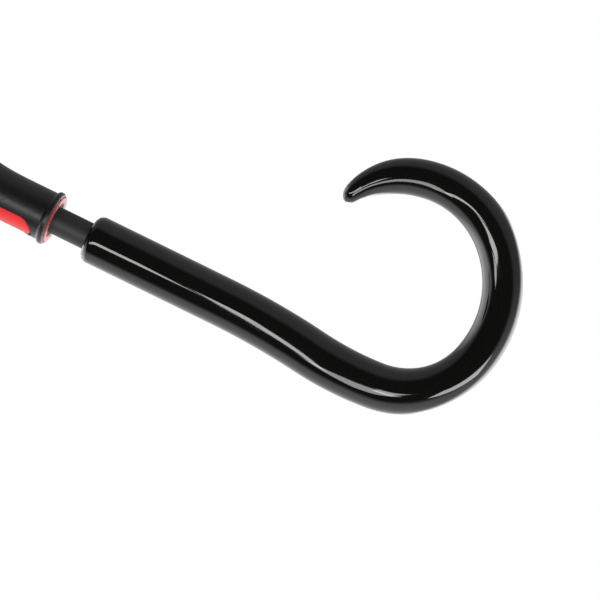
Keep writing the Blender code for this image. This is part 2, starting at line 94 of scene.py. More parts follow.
# Sizes read from the frame
SHAFT_RADIUS, CROWN_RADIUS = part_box("shaft")[1].x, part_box("runner_shell")[1].x
SHAFT_LOW, SHAFT_HIGH = heights_of("shaft")
RUNNER_LOW, RUNNER_HIGH = heights_of("runner_shell")
CAP_LOW, CAP_HIGH = heights_of("top_cap")
FERRULE_LOW, FERRULE_HIGH = heights_of("ferrule")
TIP_LOW, TIP_HIGH = heights_of("ferrule_tip")
BUTTON_LOW, BUTTON_HIGH = heights_of("release_button")
STRAP_LOW, STRAP_HIGH = heights_of("tie_strap")
RIB_COUNT = sum(name.startswith("stretcher_arm_") for name in frame["bodies"])
STEP = 2 * math.pi / RIB_COUNT
RIB_PIVOT, LUG_PIVOT = pivot_of("rib_1_hinge"), pivot_of("stretcher_1_hinge")
FIRST_AZIMUTH = math.atan2(joints["rib_1_hinge"]["pos_m"][1], joints["rib_1_hinge"]["pos_m"][0])

# The design's own numbers, as in the CAD
SOCKET_RADIUS = 0.0073
HANDLE_STRETCHES = [(0.073, 0), (0.0507, -7.4), (0.0362, 12.4), (0.0541, 69.0), (0.0603, 59.3),
                    (0.0600, 67.5), (0.0357, 51)]  # (length, degrees that it turns)
HANDLE_LENGTH = sum(length for length, _ in HANDLE_STRETCHES)
HANDLE_RADII = [(0.060, 0.0123), (0.120, 0.0123), (0.160, 0.0119), (0.200, 0.0109), (0.270, 0.0106),
                (0.334, 0.00945)]  # (distance from the upper end, radius)
HANDLE_TIP_LENGTH, HANDLE_END_LENGTH = 0.0360, 0.0045
HANDLE_TAPER, HANDLE_TAPER_DROP, HANDLE_TAPER_POWER, HANDLE_TIP_BEND = 0.0265, 0.0036, 1.6, 8
HANDLE_TOP_FILLET = 0.0042
PIN_HEIGHT = -0.022
RUNNER_BORE = 0.0119
RUNNER_SLEEVE = 0.0126
RUNNER_BEAD = 0.0139
FLARE_START, FLARE_POWER, CROWN_LOW, CROWN_FLOOR = 0.017, 2.8, 0.057, 0.043
SLOT_INNER, SLOT_WIDTH = 0.0138, 0.0036
BUTTON_AZIMUTH = math.radians(204)
WINDOW_LOW, WINDOW_HIGH, WINDOW_WIDTH = 0.0256, 0.056, 0.0156
PAD_FACE, PAD_RISE = 0.0117, 0.0009
RIB_LENGTH, RIB_TILT, RIB_BOW, RIB_RADIUS, RIB_TIP_LENGTH = 0.585, math.radians(1.08), 0.009, 0.0016, 0.008
CROWN_PIVOT = Vector((0.0165, 0, 0.084))
LUG_AT = 0.290


# Shapes


def new_piece(name, mesh, surface, smooth_angle=35):
    piece = bpy.data.objects.new(name, mesh)
    bpy.context.scene.collection.objects.link(piece)
    mesh.materials.append(surface)
    mesh.shade_smooth()
    mesh.set_sharp_from_angle(angle=math.radians(smooth_angle))
    return piece


def add_piece(name, mesh, surface, body, node=None, smooth_angle=35):
    """A piece on its body. It stands for a CAD node where one is named."""
    piece = new_piece(name, mesh, surface, smooth_angle)
    if node:
        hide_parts(node)
    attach(piece, body)
    return piece


def mesh_of(bm, name):
    bmesh.ops.recalc_face_normals(bm, faces=bm.faces)
    mesh = bpy.data.meshes.new(name)
    bm.to_mesh(mesh)
    bm.free()
    return mesh


def rounded(corners, steps=4):
    """An outline from (radius, height, fillet) corners, each fillet a curve that touches both its sides."""
    points = []
    for before, corner, after in zip(corners[-1:] + corners[:-1], corners, corners[1:] + corners[:1]):
        fillet = corner[2] if len(corner) > 2 else 0
        here = Vector(corner[:2])
        to_before, to_after = Vector(before[:2]) - here, Vector(after[:2]) - here
        if fillet <= 0 or to_before.length < 1e-9 or to_after.length < 1e-9:
            points.append(tuple(here))
            continue
        half = to_before.angle(to_after) / 2
        reach = min(fillet / math.tan(half), to_before.length * 0.49, to_after.length * 0.49)
        start, end = here + to_before.normalized() * reach, here + to_after.normalized() * reach
        for k in range(steps + 1):
            t = k / steps
            points.append(tuple((1 - t) ** 2 * start + 2 * t * (1 - t) * here + t * t * end))
    return points


def turns_of(sides):
    """Evenly spaced angles, once round."""
    return [2 * math.pi * k / sides for k in range(sides)]


def turned(outline, sides=96):
    """The solid that a closed outline of (radius, height) points makes when it turns about Z."""
    bm = bmesh.new()
    rings = []
    for radius, height in outline:
        if radius < 1e-7:
            rings.append([bm.verts.new((0, 0, height))] * sides)
        else:
            rings.append([bm.verts.new((radius * math.cos(turn), radius * math.sin(turn), height))
                          for turn in turns_of(sides)])
    for low, high in zip(rings, rings[1:] + rings[:1]):
        for k in range(sides):
            after = (k + 1) % sides
            corners = list(dict.fromkeys((low[k], low[after], high[after], high[k])))
            if len(corners) > 2:
                bm.faces.new(corners)
    return mesh_of(bm, "turned")


def ring_of(bm, centre, beside, across, radius, sides):
    """A ring of vertices round a centre, in the plane of two directions."""
    return [bm.verts.new(centre + radius * (math.cos(turn) * beside + math.sin(turn) * across))
            for turn in turns_of(sides)]


def bridge_rings(bm, rings):
    for low, high in zip(rings, rings[1:]):
        for k in range(len(low)):
            after = (k + 1) % len(low)
            bm.faces.new((low[k], low[after], high[after], high[k]))


def swept(points, radii, sides=16):
    """A round bar through points in the plane of X and Z."""
    bm = bmesh.new()
    across = Vector((0, 1, 0))
    rings = []
    for k, point in enumerate(points):
        ahead = (points[min(k + 1, len(points) - 1)] - points[max(k - 1, 0)]).normalized()
        rings.append(ring_of(bm, point, ahead.cross(across), across, radii[k], sides))
    bridge_rings(bm, rings)
    bm.faces.new(rings[0])
    bm.faces.new(rings[-1])
    return mesh_of(bm, "swept")


def grid_faces(bm, grid):
    """The faces between the rows of a grid of vertices."""
    for above, below in zip(grid, grid[1:]):
        for k in range(len(above) - 1):
            bm.faces.new((above[k], below[k], below[k + 1], above[k + 1]))


def rim_faces(bm, front, rear):
    """The faces that join the four edges of two grids of vertices."""
    edges = [(front[k], rear[k]) for k in (0, -1)]
    edges += [([row[k] for row in front], [row[k] for row in rear]) for k in (0, -1)]
    for near, far in edges:
        for k in range(len(near) - 1):
            bm.faces.new((near[k], near[k + 1], far[k + 1], far[k]))


def shell(rows, columns, place):
    """A closed skin over a front and a rear grid of points, from place(row, share, rear).

    The share goes from -1 to 1 along each row, and rear says which grid the point is for.
    """
    bm = bmesh.new()
    shares = [2 * column / columns - 1 for column in range(columns + 1)]
    grids = [[[bm.verts.new(place(row, share, rear)) for share in shares] for row in range(rows + 1)]
             for rear in (False, True)]
    for grid in grids:
        grid_faces(bm, grid)
    rim_faces(bm, *grids)
    return mesh_of(bm, "shell")


def box(low, high, bevel=0.0):
    bm = bmesh.new()
    bmesh.ops.create_cube(bm, size=1)
    size = [b - a for a, b in zip(low, high)]
    middle = [(a + b) / 2 for a, b in zip(low, high)]
    bmesh.ops.transform(bm, matrix=Matrix.Translation(middle) @ Matrix.Diagonal((*size, 1)), verts=bm.verts)
    if bevel:
        bmesh.ops.bevel(bm, geom=bm.edges[:], offset=bevel, segments=2, profile=0.5, affect="EDGES")
    return mesh_of(bm, "box")


def laid(start, end):
    """The matrix that takes the origin to start, and +Z towards end."""
    return Matrix.Translation(start) @ (end - start).to_track_quat("Z", "Y").to_matrix().to_4x4()


def rod(start, end, radius, sides=24, bevel=0.0):
    start, end = Vector(start), Vector(end)
    length = (end - start).length
    outline = rounded([(0, 0), (radius, 0, bevel), (radius, length, bevel), (0, length)], 3)
    return moved(turned(outline, sides), laid(start, end))


def joined(*meshes):
    """Meshes as one, each shell kept closed."""
    bm = bmesh.new()
    for mesh in meshes:
        bm.from_mesh(mesh)
    return mesh_of(bm, "joined")


def carved(mesh, cutters, bevel=0.0):
    """The mesh with cutters taken away, and the new edges softened."""
    base = bpy.data.objects.new("base", mesh)
    helpers = [base]
    for cutter in cutters:
        helper = bpy.data.objects.new("cutter", cutter)
        helpers.append(helper)
        boolean = base.modifiers.new("cut", "BOOLEAN")
        boolean.operation = "DIFFERENCE"
        boolean.solver = "EXACT"
        boolean.object = helper
    if bevel:
        soften = base.modifiers.new("soften", "BEVEL")
        soften.width = bevel
        soften.segments = 2
        soften.limit_method = "ANGLE"
        soften.angle_limit = math.radians(50)
    for obj in helpers:
        bpy.context.scene.collection.objects.link(obj)
    graph = bpy.context.evaluated_depsgraph_get()
    result = bpy.data.meshes.new_from_object(base.evaluated_get(graph))
    for obj in helpers:
        bpy.data.objects.remove(obj, do_unlink=True)
    return result


def moved(mesh, matrix):
    mesh.transform(matrix)
    return mesh


def around(angle):
    return Matrix.Rotation(angle, 4, "Z")


def azimuth_of(index):
    return FIRST_AZIMUTH + index * STEP


def smooth(value, low=0.0, high=1.0):
    t = min(1.0, max(0.0, (value - low) / (high - low)))
    return t * t * (3 - 2 * t)


# Materials


PONGEE, PITCH = (0.0125, 0.0125, 0.0140), 0.00035  # the canopy cloth's colour, and the width of its threads
SEAM_STITCHES, HEM_STITCHES = 0.0024, 0.0085  # how far in from the seam and the hem they run
STITCH_LENGTH = 0.0028
SEAM_FOLD, HEM_FOLD = (0.0032, 0.0038), (0.0098, 0.0106)  # from where to where the double cloth thins out


def shader_material(name, colour, roughness, metallic=0.0, specular=0.5):
    """A Principled material, with its shader and node tree to add to."""
    made = bpy.data.materials.new(name)
    made.use_nodes = True
    shader = made.node_tree.nodes["Principled BSDF"]
    shader.inputs["Base Color"].default_value = (*colour, 1)
    shader.inputs["Roughness"].default_value = roughness
    shader.inputs["Metallic"].default_value = metallic
    shader.inputs["Specular IOR Level"].default_value = specular
    return made, shader, made.node_tree


def feed(tree, socket, value):
    """Links a socket to another node's output, or sets it to a value."""
    if isinstance(value, bpy.types.NodeSocket):
        tree.links.new(value, socket)
    else:
        socket.default_value = value


def calculated(tree, operation, *values):
    node = tree.nodes.new("ShaderNodeMath")
    node.operation = operation
    for socket, value in zip(node.inputs, values):
        feed(tree, socket, value)
    return node.outputs[0]


def object_coordinates(tree, stretch):
    mapping = tree.nodes.new("ShaderNodeMapping")
    mapping.inputs["Scale"].default_value = stretch
    tree.links.new(tree.nodes.new("ShaderNodeTexCoord").outputs["Object"], mapping.inputs["Vector"])
    return mapping.outputs["Vector"]


def noise(tree, scale, detail, stretch=(1, 1, 1)):
    texture = tree.nodes.new("ShaderNodeTexNoise")
    texture.inputs["Scale"].default_value = scale
    texture.inputs["Detail"].default_value = detail
    tree.links.new(object_coordinates(tree, stretch), texture.inputs["Vector"])
    return texture.outputs["Fac"]


def bands(tree, vector, direction, scale, distortion=0.0):
    wave = tree.nodes.new("ShaderNodeTexWave")
    wave.bands_direction = direction
    wave.inputs["Scale"].default_value = scale
    wave.inputs["Distortion"].default_value = distortion
    wave.inputs["Detail"].default_value = 1.0
    tree.links.new(vector, wave.inputs["Vector"])
    return wave.outputs["Fac"]


def ranged(tree, value, low, high, from_low=0.3, from_high=0.7, smoothed=False):
    node = tree.nodes.new("ShaderNodeMapRange")
    node.interpolation_type = "SMOOTHSTEP" if smoothed else "LINEAR"
    for key, limit in (("From Min", from_low), ("From Max", from_high), ("To Min", low), ("To Max", high)):
        node.inputs[key].default_value = limit
    tree.links.new(value, node.inputs["Value"])
    return node.outputs["Result"]


def mixed_colour(tree, factor, first, second):
    node = tree.nodes.new("ShaderNodeMix")
    node.data_type = "RGBA"
    for socket, value in zip((node.inputs[0], node.inputs[6], node.inputs[7]), (factor, first, second)):
        feed(tree, socket, value)
    return node.outputs[2]


def vary_colour(tree, shader, pattern, first, second):
    mixed = mixed_colour(tree, ranged(tree, pattern, 0, 1), (*first, 1), (*second, 1))
    tree.links.new(mixed, shader.inputs["Base Color"])
    return mixed


def vary_roughness(tree, shader, pattern, low, high):
    tree.links.new(ranged(tree, pattern, low, high), shader.inputs["Roughness"])


def times(colour, factor):
    return [channel * factor for channel in colour]


def bump(tree, shader, height, strength, distance):
    node = tree.nodes.new("ShaderNodeBump")
    node.inputs["Strength"].default_value = strength
    node.inputs["Distance"].default_value = distance
    tree.links.new(height, node.inputs["Height"])
    previous = shader.inputs["Normal"].links
    if previous:
        tree.links.new(previous[0].from_socket, node.inputs["Normal"])
    tree.links.new(node.outputs["Normal"], shader.inputs["Normal"])


def handle_gloss():
    """Piano-black lacquer: almost a mirror, with a faint waviness and a little uneven polish."""
    made, shader, tree = shader_material("handle_gloss", (0.0022, 0.0021, 0.0018), 0.05)
    shader.inputs["IOR"].default_value = 1.5
    vary_roughness(tree, shader, noise(tree, 90, 4), 0.035, 0.075)
    bump(tree, shader, noise(tree, 45, 2), 0.06, 0.0004)
    return made


def moulded(name, colour, roughness, grain=0.12, specular=0.5):
    """Moulded plastic with a fine texture and a slight change of tone."""
    made, shader, tree = shader_material(name, colour, roughness, specular=specular)
    vary_colour(tree, shader, noise(tree, 60, 3), times(colour, 0.88), times(colour, 1.1))
    vary_roughness(tree, shader, noise(tree, 400, 3), roughness - 0.05, roughness + 0.05)
    bump(tree, shader, noise(tree, 2600, 2), grain, 0.00006)
    return made


def powder_coat(name, colour, roughness):
    """Matt paint with a fine grain, its shine drawn out along the shaft."""
    made, shader, tree = shader_material(name, colour, roughness)
    vary_colour(tree, shader, noise(tree, 700, 4), colour, times(colour, 1.35))
    vary_roughness(tree, shader, noise(tree, 220, 4, (1, 1, 0.15)), roughness - 0.06, roughness + 0.06)
    bump(tree, shader, noise(tree, 3200, 2), 0.2, 0.00005)
    return made


def metal(name, colour, roughness, stretch=(1, 1, 1)):
    """Plated or drawn metal with fine marks along the way it was worked."""
    made, shader, tree = shader_material(name, colour, roughness, 1.0)
    vary_roughness(tree, shader, noise(tree, 500, 5, stretch), roughness * 0.6, roughness * 1.5)
    bump(tree, shader, noise(tree, 900, 4, stretch), 0.1, 0.00005)
    return made


def fibre():
    """Pultruded glass fibre: black resin with fine lengthwise streaks."""
    made, shader, tree = shader_material("rib_fibre", (0.02, 0.02, 0.021), 0.28)
    streaks = noise(tree, 900, 3, (1, 1, 0.01))
    vary_colour(tree, shader, streaks, (0.013, 0.013, 0.014), (0.045, 0.045, 0.047))
    bump(tree, shader, streaks, 0.15, 0.00005)
    return made


def plug_wood():
    """Pale turned wood with its grain along the shaft."""
    made, shader, tree = shader_material("plug_wood", (0.42, 0.28, 0.16), 0.65)
    grain = noise(tree, 260, 5, (1, 1, 0.06))
    vary_colour(tree, shader, grain, (0.30, 0.18, 0.09), (0.52, 0.36, 0.21))
    bump(tree, shader, grain, 0.2, 0.0001)
    return made


def cloth_material(name, colour, roughness):
    """Cloth with a soft sheen and a slightly uneven dye. The dyed colour comes last."""
    made, shader, tree = shader_material(name, colour, roughness)
    shader.inputs["Sheen Weight"].default_value = 0.25
    shader.inputs["Sheen Roughness"].default_value = 0.4
    dyed = vary_colour(tree, shader, noise(tree, 25, 5), times(colour, 0.8), times(colour, 1.35))
    return made, shader, tree, dyed


def woven(name, colour, pitch, roughness=0.75):
    """A plain weave: two crossing sets of threads."""
    made, shader, tree, _ = cloth_material(name, colour, roughness)
    threads = [bands(tree, object_coordinates(tree, stretch), direction, 1 / pitch / 3.2, 0.4)
               for direction, stretch in (("DIAGONAL", (1, 1, 0)), ("Z", (1, 1, 1)))]
    bump(tree, shader, calculated(tree, "MULTIPLY", *threads), 0.35, 0.00012)
    bump(tree, shader, noise(tree, 70, 4), 0.25, 0.0012)
    return made


def canopy_cloth():
    """Fine pongee in the cloth's own coordinates, with a turned hem, felled seams and their stitches."""
    made, shader, tree, dyed = cloth_material("canopy_pongee", PONGEE, 0.72)
    per_metre = 0.314  # the wave's scale for one band in each metre
    attributes = []
    for name in ("cloth", "sewing"):
        node = tree.nodes.new("ShaderNodeAttribute")
        node.attribute_name = name
        attributes.append(node.outputs["Vector"])
    cloth, sewing = attributes
    parts = tree.nodes.new("ShaderNodeSeparateXYZ")
    tree.links.new(sewing, parts.inputs[0])
    to_seam, to_hem = parts.outputs[0], parts.outputs[1]
    threads = [bands(tree, cloth, direction, per_metre / PITCH) for direction in ("X", "Y")]
    stitches = []
    for distance, line, along in ((to_seam, SEAM_STITCHES, "Y"), (to_hem, HEM_STITCHES, "X")):
        off_line = calculated(tree, "ABSOLUTE", calculated(tree, "SUBTRACT", distance, line))
        on_line = ranged(tree, off_line, 1, 0, 0.00025, 0.0005)
        one_by_one = ranged(tree, bands(tree, cloth, along, per_metre / STITCH_LENGTH), 0, 1)
        stitches.append(calculated(tree, "MULTIPLY", on_line, one_by_one))
    stitch = calculated(tree, "MAXIMUM", *stitches)
    fold = calculated(tree, "MAXIMUM", ranged(tree, to_seam, 1, 0, *SEAM_FOLD),
                      ranged(tree, to_hem, 1, 0, *HEM_FOLD))
    tree.links.new(mixed_colour(tree, stitch, dyed, (0.045, 0.045, 0.048, 1)), shader.inputs["Base Color"])
    bump(tree, shader, calculated(tree, "MULTIPLY", *threads), 0.3, 0.0001)
    bump(tree, shader, calculated(tree, "ADD", fold, stitch), 0.6, 0.0004)
    bump(tree, shader, noise(tree, 70, 4), 0.25, 0.0012)
    return made


GLOSS = handle_gloss()
SHAFT_PAINT = powder_coat("shaft_paint", (0.0085, 0.0085, 0.0095), 0.58)
RUNNER_BLACK = moulded("runner_black", (0.005, 0.005, 0.005), 0.38, 0.06, 0.4)
RUNNER_RED = moulded("runner_red", (0.66, 0.022, 0.026), 0.45, 0.05, 0.22)
# The end liner is the same red plastic as the runner's upper liner; its darker red is painted shade on the
# end face.
SHADED_LINER_RED = moulded("liner_red_painted_shade", (0.24, 0.012, 0.018), 0.42, 0.08, 0.25)
FITTING_BLACK = moulded("fitting_black", (0.010, 0.010, 0.0105), 0.34)
TIP_BLACK = moulded("tip_black", (0.012, 0.012, 0.012), 0.4)
CHROME = metal("ferrule_metal", (0.55, 0.55, 0.56), 0.16, (1, 1, 4))
STEEL = metal("bright_steel", (0.62, 0.62, 0.62), 0.25)
BLACK_STEEL = powder_coat("stretcher_paint", (0.02, 0.02, 0.021), 0.3)
NICKEL = metal("snap_nickel", (0.6, 0.59, 0.57), 0.2)
FIBRE = fibre()
WOOD = plug_wood()
CANOPY = canopy_cloth()
ROSETTE = woven("rosette_pongee", PONGEE, PITCH)
WEBBING = woven("strap_pongee", (0.015, 0.015, 0.0165), 0.0005, 0.8)
THREAD = woven("sewing_thread", (0.03, 0.03, 0.032), 0.0002, 0.7)


# Camera, light and surroundings, in the picture's own directions. The shaft rises to the left by LEAN.

LEAN = math.radians(26.117)
PICTURE_CENTRE = Vector((0.01785, 0, -0.10795))
PICTURE_RIGHT = Vector((math.sin(LEAN), 0, -math.cos(LEAN)))
PICTURE_UP = Vector((math.cos(LEAN), 0, math.sin(LEAN)))
TOWARDS_CAMERA = Vector((0, -1, 0))
CAMERA_DISTANCE = 0.745


def in_picture(right, up, near=0.0):
    """A point from its place in the picture, in metres, and how far it is towards the camera."""
    return PICTURE_CENTRE + right * PICTURE_RIGHT + up * PICTURE_UP + near * TOWARDS_CAMERA


def add_camera():
    camera = bpy.data.objects.new("camera", bpy.data.cameras.new("camera"))
    bpy.context.scene.collection.objects.link(camera)
    camera.data.lens = 90
    camera.data.sensor_width = 36
    camera.location = in_picture(0, 0, CAMERA_DISTANCE)
    camera.rotation_mode = "QUATERNION"
    turn = Matrix((PICTURE_RIGHT, PICTURE_UP, TOWARDS_CAMERA)).transposed()
    camera.rotation_quaternion = turn.to_quaternion()
    camera.data.clip_start = 0.01
    bpy.context.scene.camera = camera


def add_softbox(name, azimuth, elevation, turn, half_length, half_width, radiance):
    """A long soft light 1 m from the crook, placed, turned and sized in degrees. The camera is at 0, 0."""
    target = in_picture(0.03, 0)
    azimuth, elevation, turn = math.radians(azimuth), math.radians(elevation), math.radians(turn)
    level = math.cos(azimuth) * PICTURE_RIGHT - math.sin(azimuth) * TOWARDS_CAMERA
    back = math.cos(elevation) * (math.sin(azimuth) * PICTURE_RIGHT + math.cos(azimuth) * TOWARDS_CAMERA)
    back += math.sin(elevation) * PICTURE_UP
    along = math.cos(turn) * level + math.sin(turn) * back.cross(level)
    light = bpy.data.lights.new(name, "AREA")
    light.shape = "RECTANGLE"
    light.size = 2 * math.tan(math.radians(half_length))
    light.size_y = 2 * math.tan(math.radians(half_width))
    light.energy = radiance * light.size * light.size_y * math.pi
    lamp = bpy.data.objects.new(name, light)
    bpy.context.scene.collection.objects.link(lamp)
    lamp.rotation_mode = "QUATERNION"
    lamp.rotation_quaternion = Matrix((along, back.cross(along), back)).transposed().to_quaternion()
    lamp.location = target + back
    lamp.visible_camera = False


def add_lights():
    """The lights that draw the streaks along the handle, from the picture's left to its right."""
    add_softbox("far_left", -46.5, -3.2, -34, 7.6, 3.8, 8.6)
    add_softbox("left", -26.2, -8.3, 2, 11.2, 4.4, 10)
    add_softbox("low_left", -14.3, -20, 72, 14.5, 2.0, 10)
    add_softbox("low_middle", -8, -31.5, 38, 13.3, 5.6, 6.5)
    add_softbox("low_front", 3.2, -20.5, 67, 8, 3.2, 7.5)
    add_softbox("low_right", 36.0, -33, 14, 12.5, 7.4, 9.5)


def add_world():
    """White to the eye. To the object, a bright studio with a dark side towards the camera."""
    world = bpy.data.worlds.new("studio")
    bpy.context.scene.world = world
    world.use_nodes = True
    tree = world.node_tree
    direction = tree.nodes.new("ShaderNodeTexCoord").outputs["Generated"]

    def facing(towards, low, high, from_low, from_high):
        """A value that goes from low to high as directions turn towards this one."""
        dot = tree.nodes.new("ShaderNodeVectorMath")
        dot.operation = "DOT_PRODUCT"
        dot.inputs[1].default_value = towards
        tree.links.new(direction, dot.inputs[0])
        return ranged(tree, dot.outputs["Value"], low, high, from_low, from_high, smoothed=True)

    below = facing(-PICTURE_UP, 0.42, 1.35, -0.1, 0.6)
    dark_side = facing(0.94 * TOWARDS_CAMERA - 0.34 * PICTURE_RIGHT, 1.0, 0.0, 0.26, 0.60)
    behind_right = 0.742 * PICTURE_RIGHT - 0.346 * PICTURE_UP - 0.574 * TOWARDS_CAMERA
    behind_left = -0.90 * PICTURE_RIGHT - 0.43 * TOWARDS_CAMERA
    cards = calculated(tree, "ADD", facing(behind_right, 0.0, 7.0, 0.68, 0.90),
                       facing(behind_left, 0.0, 2.2, 0.68, 0.96))
    lit = calculated(tree, "ADD", calculated(tree, "MULTIPLY", below, dark_side), cards)
    mixed = tree.nodes.new("ShaderNodeMix")
    mixed.data_type = "FLOAT"
    tree.links.new(tree.nodes.new("ShaderNodeLightPath").outputs["Is Camera Ray"], mixed.inputs[0])
    tree.links.new(calculated(tree, "ADD", lit, 0.07), mixed.inputs[2])
    mixed.inputs[3].default_value = 1.0
    background = tree.nodes["Background"]
    tree.links.new(mixed.outputs[0], background.inputs["Strength"])
    background.inputs["Color"].default_value = (1, 1, 1, 1)


def add_floor():
    """A pale round floor, out of the picture. The lacquer mirrors the studio, not the floor."""
    made, shader, tree = shader_material("floor_paper", (0.86, 0.86, 0.86), 0.8)
    bump(tree, shader, noise(tree, 30, 3), 0.05, 0.001)
    radius, low, high, edge = 1.55, -0.762, -0.750, 0.004
    outline = rounded([(0, low), (radius, low, edge), (radius, high, edge), (0, high)])
    floor = new_piece("floor", turned(outline, 128), made)
    floor.visible_glossy = False


# Handle and shaft


def handle_centreline(distances):
    """Points and headings at these distances along the handle, which starts at the origin and heads down."""
    step = 0.00025
    point, heading, travelled, found = Vector((0, 0, 0)), 0.0, 0.0, []
    waiting = sorted(distances)
    for length, turn in HANDLE_STRETCHES:
        count = round(length / step)
        for _ in range(count):
            while waiting and waiting[0] <= travelled + 1e-9:
                found.append((point.copy(), heading))
                waiting.pop(0)
            heading += math.radians(turn) / count
            point += length / count * Vector((math.sin(heading), 0, -math.cos(heading)))
            travelled += length / count
    return found + [(point.copy(), heading) for _ in waiting]


def handle_radius(distance):
    if distance < HANDLE_TOP_FILLET:
        rise = 1 - distance / HANDLE_TOP_FILLET
        return HANDLE_RADII[0][1] - HANDLE_TOP_FILLET * (1 - math.sqrt(1 - rise * rise))
    into_tip = distance - (HANDLE_LENGTH - HANDLE_TIP_LENGTH)
    if into_tip > 0:
        past = max(0, into_tip - HANDLE_TAPER)
        slope = HANDLE_TAPER_POWER * HANDLE_TAPER_DROP / HANDLE_TAPER
        drop = HANDLE_TAPER_DROP * min(into_tip / HANDLE_TAPER, 1) ** HANDLE_TAPER_POWER
        radius = HANDLE_RADII[-1][1] - drop - past * (slope + HANDLE_TIP_BEND * past)
        to_end = min(1, max(0, HANDLE_TIP_LENGTH - into_tip) / HANDLE_END_LENGTH)
        return radius * math.sqrt(1 - (1 - to_end) ** 2)
    if distance <= HANDLE_RADII[0][0]:
        return HANDLE_RADII[0][1]
    for (before, first), (after, second) in zip(HANDLE_RADII, HANDLE_RADII[1:]):
        if distance <= after:
            return first + (second - first) * smooth(distance, before, after)
    return HANDLE_RADII[-1][1]


def soft_radius(distance):
    """The radius, averaged along the handle so that its thickness changes with no visible step."""
    to_end = HANDLE_LENGTH - distance
    spread = min(0.012, max(0, distance - HANDLE_TOP_FILLET), max(0, to_end - HANDLE_END_LENGTH))
    return sum(handle_radius(distance + spread * k / 3) for k in range(-3, 4)) / 7


def handle_mesh(sides=96):
    """The lacquered crook, one skin from its tip to its top edge and down into the shaft's socket."""
    fine_end, between, rows = 0.014, 0.0022, 24
    distances = [HANDLE_TOP_FILLET * (1 - math.cos(math.radians(a))) for a in range(0, 91, 9)]
    distances += np.arange(0.006, HANDLE_LENGTH - fine_end - 0.001, between).tolist()
    distances += [HANDLE_LENGTH - fine_end * (1 - k / rows) ** 2 for k in range(rows)]
    bm = bmesh.new()
    out, across = Vector((1, 0, 0)), Vector((0, 1, 0))
    rings = []
    for distance, (point, heading) in zip(distances, handle_centreline(distances)):
        beside = Vector((math.cos(heading), 0, math.sin(heading)))
        rings.append(ring_of(bm, point, beside, across, soft_radius(distance), sides))
    edge = 0.0004
    socket = [(SOCKET_RADIUS, SHAFT_LOW - 0.002), (SOCKET_RADIUS, -edge), (SOCKET_RADIUS + edge, 0)]
    inner = [ring_of(bm, Vector((0, 0, height)), out, across, radius, sides) for radius, height in socket]
    bridge_rings(bm, inner + rings)
    bm.faces.new(inner[0])
    centre = bm.verts.new(handle_centreline([HANDLE_LENGTH])[0][0])
    for k in range(sides):
        bm.faces.new((rings[-1][k], rings[-1][(k + 1) % sides], centre))
    return carved(mesh_of(bm, "handle"), [rod((0, 0.006, PIN_HEIGHT), (0, 0.02, PIN_HEIGHT), 0.0011)])


def add_handle():
    handle = add_piece("handle_crook", handle_mesh(), GLOSS, "shaft_assembly", "handle", 40)
    handle.visible_glossy = False  # the inside of the crook mirrors the studio, not the rest of the crook


def add_shaft():
    """The tube, with the hole that the button's ring latches into when the umbrella is open."""
    wall, edge, latch, half = 0.001, 0.0003, 0.4157, 0.003
    tube = turned(rounded([(SHAFT_RADIUS, SHAFT_LOW, edge), (SHAFT_RADIUS, SHAFT_HIGH, edge),
                           (SHAFT_RADIUS - wall, SHAFT_HIGH), (SHAFT_RADIUS - wall, SHAFT_LOW)]))
    hole = box((0.004, -half, latch - half), (0.010, half, latch + half))
    mesh = carved(tube, [moved(hole, around(BUTTON_AZIMUTH + math.pi))])
    add_piece("shaft_tube", mesh, SHAFT_PAINT, "shaft_assembly", "shaft")


# Runner


def runner_outline():
    """The shell's bead, its straight sleeve, its flare and its crown."""
    base, rows = RUNNER_LOW, 24
    bead = [(RUNNER_BORE, base + 0.0008), (RUNNER_BEAD - 0.0007, base + 0.0004, 0.0002),
            (RUNNER_BEAD, base + 0.0012, 0.0012), (RUNNER_BEAD, base + 0.0030, 0.0014),
            (RUNNER_SLEEVE, base + 0.0040, 0.0009)]
    flare = []
    for k in range(1, rows + 1):
        rise = k / rows
        radius = RUNNER_SLEEVE + (CROWN_RADIUS - RUNNER_SLEEVE) * rise**FLARE_POWER
        flare.append((radius, base + FLARE_START + (CROWN_LOW - FLARE_START) * rise))
    crown = [(CROWN_RADIUS, RUNNER_HIGH, 0.0014), (SHAFT_RADIUS + 0.0004, RUNNER_HIGH, 0.0004),
             (SHAFT_RADIUS + 0.0004, base + CROWN_FLOOR), (RUNNER_BORE, base + CROWN_FLOOR)]
    return rounded(bead + [(RUNNER_SLEEVE, base + FLARE_START)] + flare + crown, 5)


def runner_cutters():
    """The button's window, with its round lower end, and a slot for each stretcher."""
    half, inside, outside = WINDOW_WIDTH / 2, 0.009, 0.018
    centre = WINDOW_LOW + half
    window = [box((inside, -half, centre), (outside, half, WINDOW_HIGH)),
              rod((inside, 0, centre), (outside, 0, centre), half, 64)]
    low = (SLOT_INNER, -SLOT_WIDTH / 2, RUNNER_LOW + 0.010)
    high = (0.03, SLOT_WIDTH / 2, RUNNER_HIGH + 0.01)
    slots = [moved(box(low, high), around(azimuth_of(index))) for index in range(RIB_COUNT)]
    return [moved(mesh, around(BUTTON_AZIMUTH)) for mesh in window] + slots


